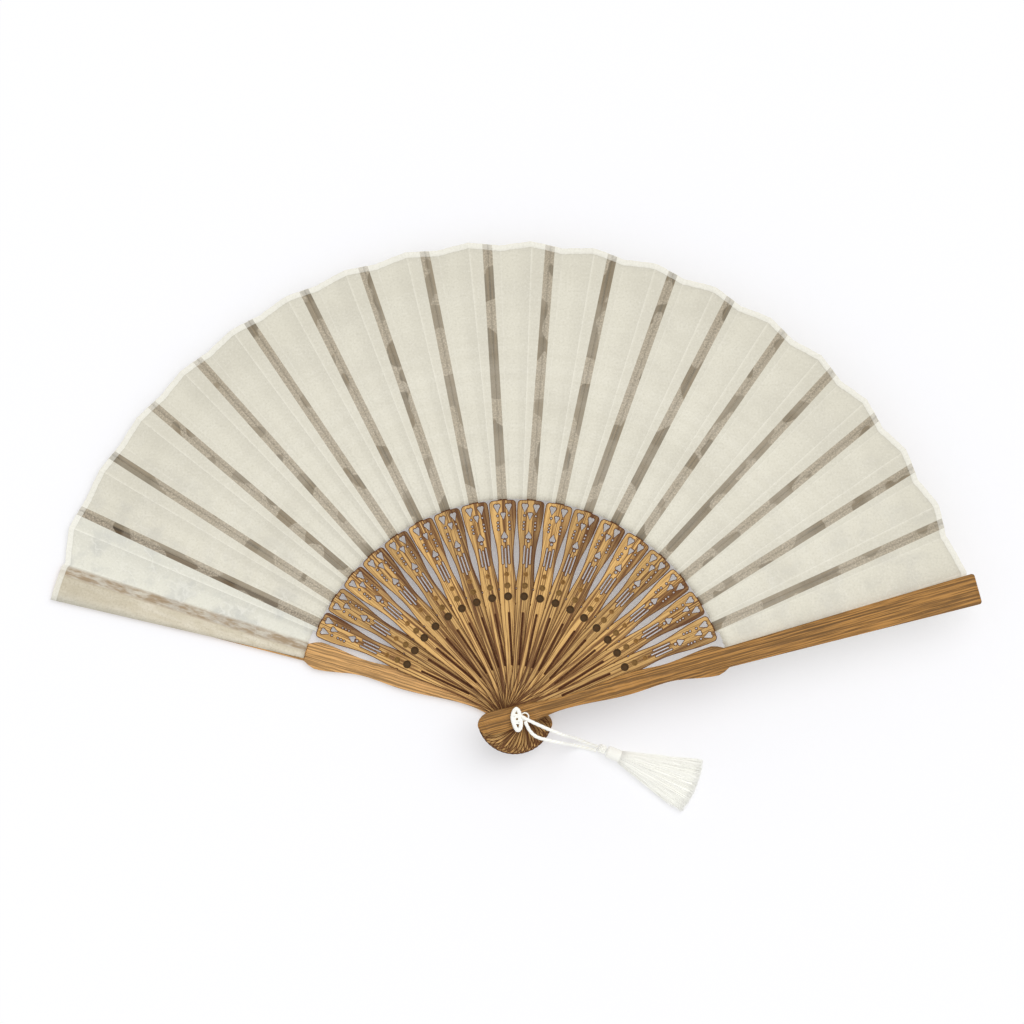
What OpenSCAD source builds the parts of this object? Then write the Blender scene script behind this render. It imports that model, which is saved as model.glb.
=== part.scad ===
// Folding hand fan of pierced bamboo sticks and a pleated silk leaf, open on its back, with a tassel.
// The pivot stands on the Z axis, the fan opens in the XY plane, and Z = 0 is what it lies on.

/* [Opening] */
// Direction of the rear guard, turned from +X
rear_angle = 163.65; // [150:0.05:175]
// Angle from one rib to the next when the fan is open
rib_step = 7.675; // [7:0.005:8]
// Angle from a guard to the rib beside it when the fan is open
guard_step = 8.84; // [8:0.01:9.2]

/* [Ribs] */
// Distance from the pivot to the end of a rib's slat
slat_reach = 188.5; // [175:0.5:189]
// Width of a rib's slat behind the silk
slat_w = 3.8; // [3:0.1:4.6]
// Thickness of a rib's slat
slat_t = 0.45; // [0.35:0.05:0.5]
// Distance from the pivot to the top of a rib's pierced blade
blade_reach = 87.6; // [86:0.2:88.4]
// Thickness of a rib's blade
blade_t = 0.85; // [0.85:0.05:1.2]
// Room between the tops of two blades side by side
blade_gap = 0.4; // [0.2:0.05:0.8]
// Radius of the corners at a blade's top
blade_corner_r = 1.6; // [0.8:0.1:2]
// Narrowest width of a stick, above the pivot
waist_w = 5; // [4.4:0.1:5.6]
// Width of a blade where its round holes are
hip_w = 7.4; // [6.8:0.1:8]
// Width of a blade where its slits are
bar_w = 6.4; // [5.8:0.1:6.8]

/* [Tails] */
// Distance from the pivot to the end of a tail
tail_reach = 15.6; // [13:0.2:16]
// Widest width of a tail
tail_w = 9.5; // [8:0.1:10]
// Distance from the pivot at which a tail begins to round off
tail_round_at = 9; // [6:0.2:10]

/* [Guards] */
// Distance from the pivot to the outer end of a guard
guard_reach = 194; // [190:0.5:200]
// Thickness of a guard
guard_t = 2.2; // [1.6:0.1:3]
// Width of a guard at its outer end
guard_end_w = 12.7; // [11:0.1:14]
// Radius of the corners at a guard's outer end
guard_end_r = 1.2; // [0.6:0.1:3]
// Width of a guard where its outer part begins
guard_arm_w = 8.1; // [7:0.1:9]
// Width of a guard at its shoulder
shoulder_w = 12.1; // [11:0.1:13]
// How far a guard lies towards the silk from its middle line
guard_lean = 0.2; // [0:0.05:0.4]
// How much further its silk side swells where the blades have their holes
guard_swell = 0.9; // [0:0.1:1.2]
// How much narrower the rear guard's free side is than the front one's
rear_slim = 0.9; // [0:0.1:1]

/* [Piercing] */
// Distance between the middles of a pair of large hearts
heart_pair = 4.7; // [4.4:0.1:5]
// Width of the large hearts
heart_w = 2.5; // [2:0.1:2.8]
// Length of the large hearts
heart_len = 3.5; // [3:0.1:4]
// Width of the small hearts
small_heart_w = 1.9; // [1.5:0.1:2.2]
// Length of the small hearts
small_heart_len = 2.9; // [2.4:0.1:3.2]
// Width of the hearts that are the other way round
turned_heart_w = 2.4; // [2:0.1:2.6]
// Diameter of the smallest dots
dot_d = 0.7; // [0.5:0.05:0.8]
// Width of the slits
slit_w = 0.55; // [0.4:0.05:0.7]
// Diameter of the round hollow nearest the pivot
big_hole_d = 2.7; // [2.2:0.1:3]
// Diameter of the middle round hollow
mid_hole_d = 2; // [1.6:0.1:2.4]
// Diameter of the outer round hollow
small_hole_d = 1.5; // [1.2:0.1:1.8]
// Depth of the round hollows and the long groove
hollow_depth = 0.45; // [0.3:0.05:0.6]
// Radius of the notches in a blade's edges
notch_r = 0.5; // [0.3:0.05:0.7]

/* [Silk leaf] */
// Distance from the top of a blade to the inner edge of the silk
leaf_gap = 1.6; // [1:0.1:3]
// Room between the silk and the thick part of a guard
seat_margin = 0.4; // [0.2:0.1:0.8]
// Mean distance from the pivot to the tips of the silk's outer edge
leaf_outer = 193.8; // [191.5:0.1:198]
// How much further the silk reaches at the rear guard than at the front one
leaf_drift = 4; // [0:0.1:5]
// How far the outer edge steps in and out from pleat to pleat
leaf_step = 2.2; // [0:0.1:3]
// Thickness of the silk with its glue
silk_t = 0.2; // [0.1:0.05:0.2]
// Angle from a rib to the crease on its rear side
crease_rear = 2.3; // [1.8:0.05:2.6]
// Angle from a rib to the crease on its front side
crease_front = 1.55; // [1.3:0.05:1.8]
// Angle from a guard to the crease beside it
crease_guard = 2.3; // [2.1:0.05:2.6]
// Angle from the rear guard to the silk's end
flap_rear = 1.95; // [1.5:0.05:2.1]
// Angle from the front guard to the silk's end
flap_front = 1.5; // [1:0.05:1.8]
// How far a pleat rises or falls on its way to the next rib
pleat_rise = 0.2; // [0:0.01:0.2]

/* [Pivot] */
// Radius of the rivet's shank
pin_r = 1.25; // [1:0.05:1.5]
// Room around the shank in every bore
pin_clearance = 0.05; // [0.02:0.01:0.1]
// Radius of the rivet's rear head
rivet_head_r = 2.6; // [2:0.1:3]
// Thickness of the rivet's rear head
rivet_head_t = 0.6; // [0.4:0.05:1]
// Radius of the washer on the front guard
washer_r = 2; // [1.8:0.1:3]
// Thickness of the washer
washer_t = 0.3; // [0.2:0.05:0.5]
// Radius of the rivet's front cap
cap_r = 1.6; // [1.5:0.1:2]
// Thickness of the rivet's front cap
cap_t = 0.4; // [0.3:0.05:0.5]

/* [Tassel] */
// Diameter of the cord
cord_d = 1.4; // [1.2:0.1:1.5]
// Outer diameter of the thin loop beside the pivot's knot
loop_d = 3.6; // [3:0.1:4]
// Diameter of the knot on top of the tassel
top_knot_d = 4.2; // [3.8:0.1:4.6]
// Diameter of the tassel's wound collar
collar_d = 5.4; // [4.6:0.1:6]
// Length of the collar
collar_len = 6; // [4:0.1:8]
// Length of the skirt of threads
skirt_len = 33.2; // [20:0.1:36]
// Width of the skirt at its ends
skirt_end_w = 21.7; // [14:0.1:24]
// Thickness of the skirt at its ends
skirt_end_t = 2.6; // [2:0.1:4]

/* [Fits] */
// Room between two layers of sticks
layer_gap = 0.1; // [0.06:0.01:0.14]

/* [Hidden] */
$fn = 24;
rib_count = 18;
front_i = rib_count + 1;
layer_pitch = blade_t + layer_gap;
bore_r = pin_r + pin_clearance;
// How deep the guards are let in for the silk
silk_seat = slat_t;
stack_top = layer_z(front_i) + guard_t;
washer_z = stack_top + pin_clearance;
cap_z = washer_z + washer_t;
knot_z = cap_z + cap_t;
bamboo = [0.69, 0.51, 0.29];
pale_bamboo = [0.8, 0.63, 0.4];
dark_bamboo = [0.6, 0.42, 0.2];
silk_white = [0.91, 0.9, 0.84];
cord_white = [0.96, 0.96, 0.93];
metal = [0.72, 0.66, 0.5];

// Where the outline of a blade or guard changes, as distances from the pivot
waist_at = 0.24 * blade_reach;
guard_hip_at = 0.54 * blade_reach;
hip_at = 0.605 * blade_reach;
bar_at = 0.72 * blade_reach;
shoulder_at = 0.966 * blade_reach;
leaf_inner = blade_reach + leaf_gap;
arm_at = leaf_inner - seat_margin;

// Half the width of a stick at the pivot, where it swells into its tail
pivot_half_w = (tail_w + waist_w) / 3.4;

// The blade's top fills its share of the opening angle
blade_top_w = 2 * shoulder_at * sin(rib_step / 2) - blade_gap;
blade_line = [
    [-tail_round_at, tail_w / 2],
    [0, pivot_half_w],
    [waist_at, waist_w / 2],
    [hip_at, hip_w / 2],
    [bar_at, bar_w / 2],
    [shoulder_at, blade_top_w / 2],
    [blade_reach, blade_top_w / 2],
];
// A guard's side away from the silk, then its side towards the silk
function guard_free_line(slim) = [
    [-tail_round_at, tail_w / 2],
    [0, pivot_half_w],
    [waist_at, waist_w / 2 - guard_lean - slim],
    [guard_hip_at, hip_w / 2 - slim],
    [bar_at, bar_w / 2 - guard_lean - slim],
    [shoulder_at, shoulder_w / 2 - guard_lean - slim],
    [arm_at, guard_arm_w / 2 - guard_lean - slim],
];
guard_silk_line = [
    [-tail_round_at, tail_w / 2],
    [0, pivot_half_w],
    [waist_at, waist_w / 2 + guard_lean],
    [hip_at, hip_w / 2 + guard_lean + guard_swell],
    [bar_at, bar_w / 2 + guard_lean + guard_swell],
    [shoulder_at, shoulder_w / 2 + guard_lean],
    [arm_at, guard_arm_w / 2 + guard_lean],
];

// Where the tassel's knot lies, and the way the tassel points
tassel_at = [35.4, -13.8];
tassel_turn = -22.2;

// The cord's two strands, from the pivot's knot over the tails and down to the tassel
strand_upper_route = [
    [2.6, 0.2, 23.9],
    [4.8, -1, 23.8],
    [7.2, -2.2, 23.5],
    [9.8, -3.4, 23.1],
    [12.5, -4.6, 22.8],
    [15.4, -5.8, 22.5],
    [17.6, -6.7, 21.7],
    [19.3, -7.4, 19.9],
    [20.4, -7.8, 17.4],
    [21.1, -8.1, 14.6],
    [21.6, -8.3, 11.8],
    [22.1, -8.5, 9],
    [22.8, -8.8, 6.3],
    [24, -9.2, 3.8],
    [26, -10, 1.9],
    [28.6, -11.1, 0.9],
    [31.2, -12.1, 0.9],
    [33.6, -12.9, 1.5],
];
strand_lower_route = [
    [4, -1.8, 23.9],
    [4.8, -3.6, 23.7],
    [5.8, -5.4, 23.3],
    [7.4, -7.2, 23],
    [9.5, -8.4, 22.8],
    [12, -9.1, 22.6],
    [14.4, -9.7, 22.4],
    [16.6, -10.2, 21.6],
    [18.3, -10.6, 19.9],
    [19.4, -10.9, 17.4],
    [20.1, -11.1, 14.6],
    [20.6, -11.3, 11.8],
    [21.2, -11.5, 9],
    [21.9, -11.7, 6.3],
    [23.1, -12, 3.8],
    [25.1, -12.5, 1.9],
    [27.7, -13.1, 0.9],
    [30.4, -13.8, 0.9],
    [33, -14.5, 1.5],
];
// A level line square to the strands, from which their rings are turned
strand_side = [0.37, 0.93, 0];

// Layers and directions, counted from the rear guard, which is 0
function layer_z(i) = i == 0 ? 0 : guard_t + layer_gap + (i - 1) * layer_pitch;
function gap_after(i) = (i == 0 || i == rib_count) ? guard_step : rib_step;
function stick_angle(i) = i == 0 ? rear_angle : stick_angle(i - 1) - gap_after(i - 1);

module stick_place(i) {
    translate([0, 0, layer_z(i)])
        rotate([0, 0, stick_angle(i)])
            children();
}

// Outlines, as half widths along a stick that runs from the pivot along +X
function ease(t) = (1 - cos(180 * t)) / 2;
function mix(a, b, t) = a + (b - a) * t;
function half_width(line, x, i = 0) =
    (i == len(line) - 2 || x <= line[i + 1][0])
        ? mix(line[i][1], line[i + 1][1], ease((x - line[i][0]) / (line[i + 1][0] - line[i][0])))
        : half_width(line, x, i + 1);
function stations(line, from_x, to_x, count) =
    [for (k = [0:count]) let (x = mix(from_x, to_x, k / count)) [x, half_width(line, x)]];
function mirrored(points) = [for (p = points) [p[0], -p[1]]];
function turned_round(points) = [for (k = [len(points) - 1:-1:0]) points[k]];

// The tail's round end is half an ellipse
tail_end = [
    for (a = [90:-10:-90])
        [-tail_round_at - (tail_reach - tail_round_at) * cos(a), tail_w / 2 * sin(-a)]
];

module edged_shape(free_side, silk_side) {
    polygon(concat(mirrored(free_side), turned_round(silk_side), turned_round(tail_end)));
}

module heart(w, len_h) {
    lobe_r = w * 0.27;
    for (side = [-1, 1])
        translate([len_h - lobe_r, side * (w / 2 - lobe_r)])
            circle(r = lobe_r);
    polygon([
        [0, 0],
        [len_h - lobe_r * 1.25, -w / 2 + lobe_r * 0.04],
        [len_h - lobe_r * 0.4, 0],
        [len_h - lobe_r * 1.25, w / 2 - lobe_r * 0.04],
    ]);
}

module dot(x, y, d) {
    translate([x, y])
        circle(d = d);
}

module slit(from_x, to_x, y, w) {
    translate([from_x, y - w / 2])
        square([to_x - from_x, w]);
    dot(from_x, y, w);
    dot(to_x, y, w);
}

// The pierced field runs from the middle round hole, share 0, to the top of the blade, share 1
function up(share) = mix(hip_at, blade_reach, share);

module piercing() {
    row_y = hip_w / 3.2;
    for (side = [-1, 1]) {
        translate([up(0.856), side * heart_pair / 2])
            heart(heart_w, heart_len);
        dot(up(0.82), side * row_y, dot_d);
        for (share = [0.66, 0.7, 0.74])
            dot(up(share), side * row_y, dot_d);
        slit(up(0.26), up(0.46), side * bar_w / 5, slit_w);
        for (share = [-0.22, -0.04])
            dot(up(share), side * (hip_w / 2 + notch_r * 0.3), 2 * notch_r);
    }
    translate([up(0.772), 0])
        heart(small_heart_w, small_heart_len);
    translate([up(0.636), 0])
        rotate(180)
            heart(turned_heart_w, small_heart_len);
    dot(up(0.523), 0, dot_d * 1.4);
    slit(up(0.22), up(0.43), 0, slit_w);
}

// The three round hollows and the long groove don't go through the blade
module hollows() {
    slit(waist_at, up(-0.324), 0, slit_w * 0.8);
    dot(up(0.133), 0, small_hole_d);
    dot(up(0), 0, mid_hole_d);
    dot(up(-0.127), 0, big_hole_d);
}

module blade_outline() {
    corner_x = blade_reach - blade_corner_r;
    side = stations(blade_line, -tail_round_at, corner_x, 32);
    top_y = blade_top_w / 2 - blade_corner_r;
    corner = [
        for (a = [0:15:75])
            [corner_x + blade_corner_r * sin(a), top_y + blade_corner_r * cos(a)]
    ];
    crown = [
        [blade_reach, top_y],
        [blade_reach + 0.3, 0],
    ];
    edge = concat(side, corner, [crown[0]]);
    edged_shape(concat(edge, [crown[1]]), edge);
}

module rib(i) {
    stick_place(i) {
        color(bamboo) {
            difference() {
                linear_extrude(height = blade_t)
                    difference() {
                        blade_outline();
                        piercing();
                    }
                translate([0, 0, blade_t - hollow_depth])
                    linear_extrude(height = blade_t)
                        hollows();
                translate([0, 0, -1])
                    cylinder(r = bore_r, h = blade_t + 2);
            }
            translate([blade_reach - 1, -slat_w / 2, 0])
                cube([slat_reach - blade_reach + 1, slat_w, slat_t]);
        }
    }
}

// A guard lies with the silk on its +Y side, and the rear guard is turned over
module guard_inner(slim) {
    free_side = stations(guard_free_line(slim), -tail_round_at, arm_at, 40);
    edged_shape(free_side, stations(guard_silk_line, -tail_round_at, arm_at, 40));
}

module guard_outer(slim) {
    end_x = guard_reach - guard_end_r;
    end_y = guard_end_w / 2 - guard_end_r;
    start_y = guard_arm_w / 2;
    corner = [
        for (a = [0:15:90])
            [end_x + guard_end_r * sin(a), end_y + guard_end_r * cos(a)]
    ];
    free_side = concat([[arm_at - 0.01, start_y - guard_lean - slim]], corner);
    silk_side = concat([[arm_at - 0.01, start_y + guard_lean]], corner);
    polygon(concat(mirrored(free_side), turned_round(silk_side)));
}

module guard_blank(slim, seat_z) {
    linear_extrude(height = guard_t)
        guard_inner(slim);
    translate([0, 0, seat_z])
        linear_extrude(height = guard_t - silk_seat)
            guard_outer(slim);
}

module rear_guard() {
    color(pale_bamboo)
        stick_place(0)
            difference() {
                mirror([0, 1, 0])
                    guard_blank(rear_slim, 0);
                translate([0, 0, -1])
                    cylinder(r = bore_r, h = guard_t + 2);
                translate([0, 0, -1])
                    cylinder(r = rivet_head_r + pin_clearance, h = rivet_head_t + 1);
            }
}

module front_guard() {
    color(dark_bamboo)
        stick_place(front_i)
            difference() {
                guard_blank(0, silk_seat);
                translate([0, 0, -1])
                    cylinder(r = bore_r, h = guard_t + 2);
            }
}

// The silk on one stick, from the middle of the pleat behind it to the middle of the pleat before it
function crease_before(i) = i == 0 ? crease_guard : crease_front;
function crease_behind(i) = i == front_i ? crease_guard : crease_rear;
function middle_before(i) = (crease_before(i) + gap_after(i) - crease_behind(i + 1)) / 2;
function middle_behind(i) = gap_after(i - 1) - middle_before(i - 1);
function tip_r(i) = leaf_outer + leaf_drift * (0.5 - i / front_i);

// Rows of [angle from the stick towards the rear, outer radius, height above the seat]
function leaf_rows(i) = concat(
    i == 0
        ? [[flap_rear, tip_r(i), 0]]
        : [[middle_behind(i), tip_r(i) - leaf_step / 2, i == front_i ? 0 : -pleat_rise],
           [crease_behind(i), tip_r(i), 0]],
    i == front_i
        ? [[-flap_front, tip_r(i) - leaf_step, 0]]
        : [[-crease_before(i), tip_r(i) - leaf_step, 0],
           [-middle_before(i), tip_r(i) - leaf_step / 2, pleat_rise]]
);
function polar(r, a, z) = [r * cos(a), r * sin(a), z];

module silk(i) {
    rows = leaf_rows(i);
    seat_z = i == 0 ? guard_t - silk_seat : (i == front_i ? 0 : slat_t);
    n = len(rows);
    points = [
        for (row = rows)
            each [
                polar(leaf_inner, row[0], seat_z + row[2]),
                polar(row[1], row[0], seat_z + row[2]),
                polar(row[1], row[0], seat_z + row[2] + silk_t),
                polar(leaf_inner, row[0], seat_z + row[2] + silk_t)
            ]
    ];
    walls = [
        for (k = [0:n - 2])
            for (e = [0:3])
                let (a = 4 * k + e, b = 4 * k + (e + 1) % 4)
                    each [[a, b, b + 4], [a, b + 4, a + 4]]
    ];
    ends = [
        [0, 3, 2],
        [0, 2, 1],
        [4 * n - 4, 4 * n - 3, 4 * n - 2],
        [4 * n - 4, 4 * n - 2, 4 * n - 1],
    ];
    color(silk_white)
        stick_place(i)
            polyhedron(points = points, faces = concat(walls, ends));
}

module silk_rear() {
    silk(0);
}

module silk_front() {
    silk(front_i);
}

module rivet() {
    color(metal) {
        cylinder(r = rivet_head_r, h = rivet_head_t);
        cylinder(r = pin_r, h = cap_z);
    }
}

module washer() {
    color(metal)
        translate([0, 0, washer_z])
            difference() {
                cylinder(r = washer_r, h = washer_t);
                translate([0, 0, -1])
                    cylinder(r = bore_r, h = washer_t + 2);
            }
}

module rivet_cap() {
    color(metal)
        translate([0, 0, cap_z])
            cylinder(r = cap_r, h = cap_t);
}

// The knot is a soft three-cornered cushion of cord
module pivot_knot() {
    knot_t = 1.7 * cord_d;
    corners = [[1.2, 2.9], [-0.7, -1], [1.8, -4.8]];
    color(cord_white)
        hull()
            for (c = corners)
                translate([c[0], c[1], knot_z + knot_t / 2])
                    scale([1, 1, 0.9])
                        sphere(r = knot_t / 2, $fn = 16);
}

// A thin loop that lies on the front guard, beside the washer
module knot_loop() {
    wire_r = 0.3;
    outer_r = loop_d / 2;
    color(cord_white)
        translate([washer_r + 0.1 + outer_r, 0.1, stack_top + pin_clearance + wire_r])
            rotate_extrude($fn = 48)
                translate([outer_r - wire_r, 0])
                    circle(r = wire_r);
}

function unit(v) = v / norm(v);
function along(p, k) = unit(p[min(k + 1, len(p) - 1)] - p[max(k - 1, 0)]);

// A tube of eight sides along a list of points
module tube(p, d) {
    sides = 8;
    last = len(p) - 1;
    points = [
        for (k = [0:last])
            let (t = along(p, k), b = unit(cross(t, strand_side)), a = cross(b, t))
                for (j = [0:sides - 1])
                    p[k] + d / 2 * (a * cos(360 * j / sides) + b * sin(360 * j / sides))
    ];
    walls = [
        for (k = [0:last - 1])
            for (j = [0:sides - 1])
                let (q = k * sides + j, r = k * sides + (j + 1) % sides)
                    each [[q, r + sides, r], [q, q + sides, r + sides]]
    ];
    start = [for (j = [1:sides - 2]) [0, j, j + 1]];
    finish = [for (j = [1:sides - 2]) [last * sides, last * sides + j + 1, last * sides + j]];
    polyhedron(points = points, faces = concat(walls, start, finish));
}

module strand_upper() {
    color(cord_white)
        tube(strand_upper_route, cord_d);
}

module strand_lower() {
    color(cord_white)
        tube(strand_lower_route, cord_d);
}

module tassel_place() {
    translate([tassel_at[0], tassel_at[1], 0])
        rotate([0, 0, tassel_turn])
            children();
}

module tassel_knot() {
    color(cord_white)
        tassel_place()
            translate([0, 0, top_knot_d / 2])
                sphere(d = top_knot_d, $fn = 24);
}

module tassel_collar() {
    color(cord_white)
        tassel_place()
            translate([top_knot_d / 2, 0, collar_d / 2])
                rotate([0, 90, 0])
                    cylinder(d = collar_d, h = collar_len);
}

module tassel_skirt() {
    root_x = top_knot_d / 2 + collar_len;
    spread = asin(skirt_end_w / 2 / skirt_len);
    edge_r = 0.4;
    color(cord_white)
        tassel_place()
            translate([root_x, 0, 0])
                hull() {
                    translate([0, 0, collar_d / 2])
                        rotate([0, 90, 0])
                            cylinder(d = collar_d - 0.2, h = 0.5);
                    for (share = [-1:0.25:1])
                        rotate([0, 0, share * spread])
                            translate([skirt_len - edge_r, 0, 0])
                                cylinder(r = edge_r, h = skirt_end_t, $fn = 12);
                }
}

rear_guard();
front_guard();
for (i = [1:rib_count]) {
    name = str(i < 10 ? "0" : "", i);
    rib(i);
    silk(i);
}
silk_rear();
silk_front();
rivet();
washer();
rivet_cap();
pivot_knot();
knot_loop();
strand_upper();
strand_lower();
tassel_knot();
tassel_collar();
tassel_skirt();
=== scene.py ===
"""Folding hand fan of pierced bamboo and silk, dressed round its CAD frame.

Lengths in the functions are in millimetres and angles in degrees, turned clockwise as seen from above; meshes are in
metres. The pivot is at the origin, the fan lies on the floor and opens towards +Y.
"""

import math

import bmesh
import bpy
import numpy as np
from bpy.props import FloatProperty, FloatVectorProperty, IntProperty, PointerProperty
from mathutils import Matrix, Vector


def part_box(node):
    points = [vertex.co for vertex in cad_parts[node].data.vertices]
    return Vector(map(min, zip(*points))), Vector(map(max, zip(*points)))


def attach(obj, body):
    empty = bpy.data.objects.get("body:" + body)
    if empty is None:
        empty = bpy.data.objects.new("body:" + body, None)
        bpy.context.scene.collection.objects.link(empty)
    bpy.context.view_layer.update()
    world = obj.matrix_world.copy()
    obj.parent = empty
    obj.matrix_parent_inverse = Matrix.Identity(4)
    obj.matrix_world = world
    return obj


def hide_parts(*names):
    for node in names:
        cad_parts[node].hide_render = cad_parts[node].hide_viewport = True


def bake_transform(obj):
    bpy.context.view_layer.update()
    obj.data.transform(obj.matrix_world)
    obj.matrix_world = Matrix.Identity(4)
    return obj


bl_info = {
    "name": "Folding fan",
    "version": (1, 0, 0),
    "blender": (4, 5, 0),
    "location": "View3D > Sidebar > Fan",
    "description": "Dresses the frame of a folding fan in pierced bamboo, silk and a corded tassel",
    "category": "Object",
}

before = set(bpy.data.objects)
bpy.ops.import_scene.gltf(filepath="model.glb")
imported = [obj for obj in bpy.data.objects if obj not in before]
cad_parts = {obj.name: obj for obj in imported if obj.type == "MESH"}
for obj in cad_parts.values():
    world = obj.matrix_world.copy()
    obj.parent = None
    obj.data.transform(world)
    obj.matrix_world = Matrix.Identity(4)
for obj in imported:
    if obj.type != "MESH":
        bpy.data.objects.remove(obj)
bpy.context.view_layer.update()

RIBS = 18
REAR_TURN = 163.65  # where the rear guard points, counted anticlockwise from +X
GUARD_STEP, RIB_STEP = 8.84, 7.675
TURNS = np.concatenate([[0], GUARD_STEP + RIB_STEP * np.arange(RIBS), [2 * GUARD_STEP + RIB_STEP * (RIBS - 1)]])
BODIES, STICKS, SILKS = (
    [rear, *(f"{rib}_{i:02d}" for i in range(1, RIBS + 1)), front] for rear, rib, front in (
        ("rear_stick", "stick", "front_stick"), ("rear_guard", "rib", "front_guard"),
        ("silk_rear", "silk", "silk_front")))
RIB_PITCH = 0.95  # height from one rib to the next
SEATS = np.concatenate([[1.76], 2.76 + RIB_PITCH * np.arange(RIBS), [19.5]])  # underside of the silk on each stick

LEAF_INNER, LEAF_OUTER = 89.2, 193.8
CREASE_REAR, CREASE_FRONT, CREASE_GUARD = 2.3, 1.55, 2.3
CREASE_DIP = 0.12  # how far the silk lies under the slat's top at its front crease
SLAT_HALF = 1.9
FAR_OFF = 99.0  # stands for a distance that nothing reaches

TASSEL_AT, TASSEL_TURN = np.array([35.4, -13.8]), math.radians(-22.2)
BALL_RADIUS, BALL_HEIGHT, COLLAR_HEIGHT = 1.5, 2.1, 2.7
SKIRT_TOP, SKIRT_START, SKIRT_END, SKIRT_SPREAD = -0.8, 8.9, 42.1, 15.1
STRAND_UPPER = [
    [2.6, 0.2, 23.9], [4.8, -1, 23.8], [7.2, -2.2, 23.5], [9.8, -3.4, 23.1], [12.5, -4.6, 22.8], [15.4, -5.8, 22.5],
    [17.6, -6.7, 21.7], [19.3, -7.4, 19.9], [20.4, -7.8, 17.4], [21.1, -8.1, 14.6], [21.6, -8.3, 11.8],
    [22.1, -8.5, 9], [22.8, -8.8, 6.3], [24, -9.2, 3.8], [26, -10, 1.9], [28.6, -11.1, 0.9], [31.2, -12.1, 0.9],
    [33.6, -12.9, 1.5]]
STRAND_LOWER = [
    [4, -1.8, 23.9], [4.8, -3.6, 23.7], [5.8, -5.4, 23.3], [7.4, -7.2, 23], [9.5, -8.4, 22.8], [12, -9.1, 22.6],
    [14.4, -9.7, 22.4], [16.6, -10.2, 21.6], [18.3, -10.6, 19.9], [19.4, -10.9, 17.4], [20.1, -11.1, 14.6],
    [20.6, -11.3, 11.8], [21.2, -11.5, 9], [21.9, -11.7, 6.3], [23.1, -12, 3.8], [25.1, -12.5, 1.9],
    [27.7, -13.1, 0.9], [30.4, -13.8, 0.9], [33, -14.5, 1.5]]


def paint(red, green, blue):
    """A colour on the usual 0 to 255 scale, as linear light: ((c + 0.055) / 1.055) to the power 2.4."""
    return tuple(((c / 255 + 0.055) / 1.055) ** 2.4 for c in (red, green, blue))


def toned(base, by):
    """A colour made lighter or darker, up to 1 in each channel."""
    return tuple(min(c * by, 1.0) for c in base)


def colour(text, red, green, blue):
    """A colour setting."""
    return FloatVectorProperty(
        name=text, description=f"Colour of the {text.lower()}", default=paint(red, green, blue), size=3,
        min=0.0, max=1.0, subtype="COLOR")


def length(text, description, metres, high=0.05):
    """A length setting, in metres."""
    return FloatProperty(
        name=text, description=description, default=metres, min=0.0, max=high, precision=5, subtype="DISTANCE",
        unit="LENGTH")


class StageSettings(bpy.types.PropertyGroup):
    """Camera, floor and light."""

    camera_height: length("Camera height", "Height of the camera over the floor", 2.5, 10.0)
    view_width: length("View width", "Width that the picture takes in at the height of the silk", 0.4151, 2.0)
    floor: colour("Floor", 217, 217, 220)
    glow: FloatProperty(name="Floor glow", description="Light that the floor gives itself", default=0.3, min=0.0)
    key: FloatProperty(name="Key light", description="Strength of the soft key light", default=1.0, min=0.0)
    fill: FloatProperty(name="Fill light", description="Strength of the light from all round", default=0.74, min=0.0)


class LeafSettings(bpy.types.PropertyGroup):
    """The pleated silk."""

    thickness: length("Silk thickness", "Thickness of one layer of silk", 0.0001)
    hem_width: length("Hem width", "Width of the doubled hem on the outer edge", 0.0023)
    ridge: length("Ridge rise", "How far the silk rises beside each slat", 0.00022)
    silk: colour("Silk", 234, 232, 218)
    # shade is the silk's darker tone: the painted shade on the pleats and along the hem's inner edge, and the darker
    # part of its clouds and specks.
    shade: colour("Silk in the fold", 213, 211, 199)
    # hem is also the colour of the painted highlights along the creases.
    hem: colour("Hem", 250, 248, 238)
    slat: colour("Slat through the silk", 160, 148, 130)
    glue: colour("Glue stain", 98, 74, 40)


class BambooSettings(bpy.types.PropertyGroup):
    """The sticks."""

    blade: colour("Blade", 178, 131, 70)
    # golden is the light colour of the grain and also the painted highlight along each blade's left border.
    golden: colour("Golden edge", 222, 178, 108)
    # shadow is the dark colour of the grain and also the painted shadow strip along each blade's right edge and the
    # painted shade in the hollows and between the layers.
    shadow: colour("Dark strip", 96, 56, 22)
    scorched: colour("Cut edges", 92, 52, 20)
    rim: length("Rim", "Width of the darkened strip round every cut edge", 0.00032)
    front_guard: colour("Front guard", 160, 114, 54)
    rear_guard: colour("Rear guard", 196, 150, 92)


class CordSettings(bpy.types.PropertyGroup):
    """Cord, knots and tassel."""

    diameter: length("Cord diameter", "Diameter of the twisted cord", 0.0014)
    white: colour("Cord", 255, 255, 249)
    # groove is the painted shade in the cord's grooves between plies and windings.
    groove: colour("Cord grooves", 240, 239, 232)
    threads: IntProperty(name="Skirt threads", description="Loose threads on the skirt", default=560, min=50, max=900)


# ---------------------------------------------------------------- surfaces


def faces_of(rows, columns, start=0, wrap=False, flip=False):
    """Quads of a grid of points numbered row by row: (i, j), (i, j + 1), (i + 1, j + 1), (i + 1, j)."""
    i = np.arange(rows - 1)[:, None]
    j = np.arange(columns if wrap else columns - 1)[None, :]
    after = (j + 1) % columns
    quads = np.stack([i * columns + j, i * columns + after, (i + 1) * columns + after, (i + 1) * columns + j], axis=-1)
    quads = quads.reshape(-1, 4) + start
    return quads[:, ::-1] if flip else quads


def ring_angles(sides):
    """Even angles round a ring, in radians, as one row."""
    return np.arange(sides)[None, :] * 2 * math.pi / sides


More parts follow.
